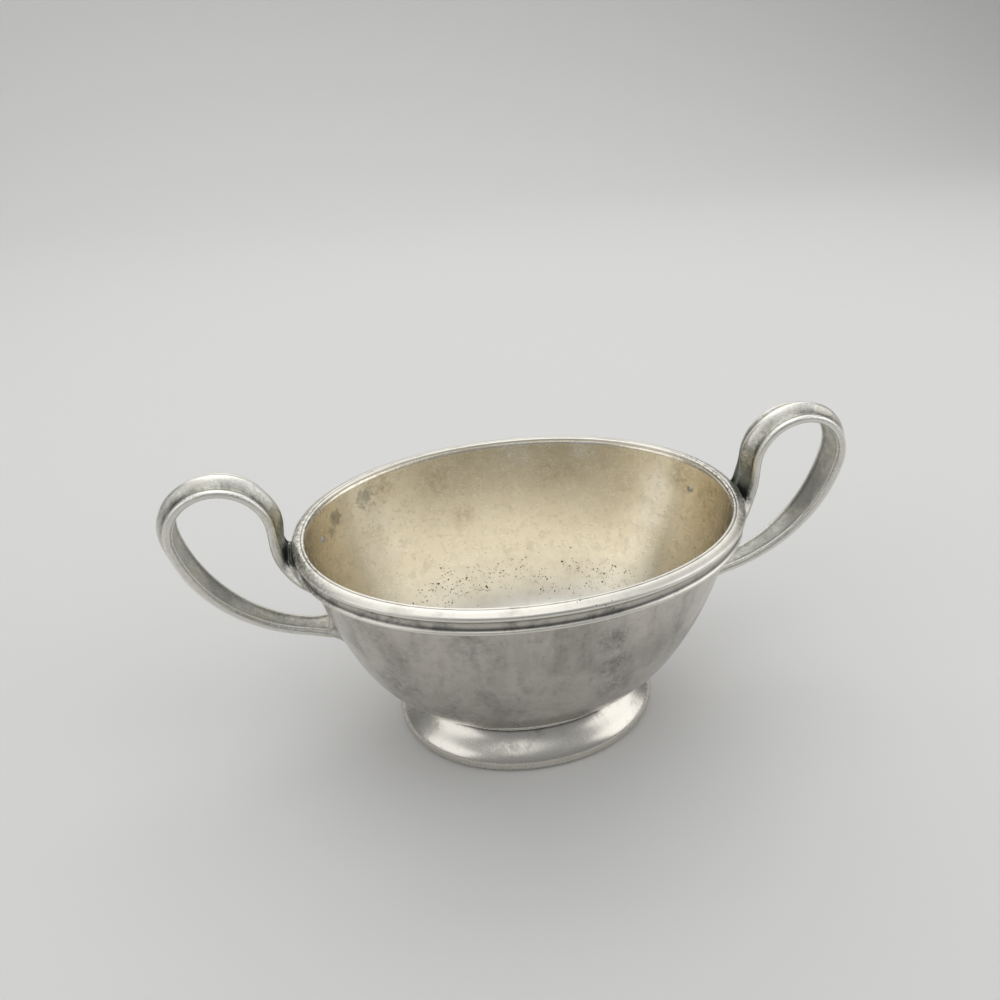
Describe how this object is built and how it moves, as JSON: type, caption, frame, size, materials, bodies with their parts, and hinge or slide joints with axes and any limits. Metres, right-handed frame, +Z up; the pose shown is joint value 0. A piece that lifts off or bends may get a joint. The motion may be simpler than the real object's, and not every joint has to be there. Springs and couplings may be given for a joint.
{
  "type": "two-handled bowl",
  "caption": "Oval open bowl in worn silver plate on a hollow spreading foot, with a moulded rim and a cast strap handle looped up at each end.",
  "frame": {"origin": "middle of the foot's base, on the surface it stands on", "axes": "+X through both handles, +Y across the bowl away from the pictured side, +Z up"},
  "size_m": [0.1824, 0.0868, 0.087],
  "materials": {
    "body_plate": "worn silver plate, cloudy straw tarnish inside, dull polish outside",
    "rim_plate": "bright worn silver plate with fine pits",
    "foot_plate": "satin worn silver plate",
    "handle_plate": "cast silver plate, grey-green tarnish in the hollows, bright edges",
    "solder": "dark tarnished silver solder"
  },
  "bodies": {
    "root": {"bowl_body": "body_plate", "rim_band": "rim_plate", "foot_ring": "foot_plate", "left_handle": "handle_plate", "right_handle": "handle_plate", "foot_solder_seam": "solder", "rim_solder_seam": "solder", "left_upper_solder": "solder", "left_lower_solder": "solder", "right_upper_solder": "solder", "right_lower_solder": "solder"}
  },
  "joints": []
}
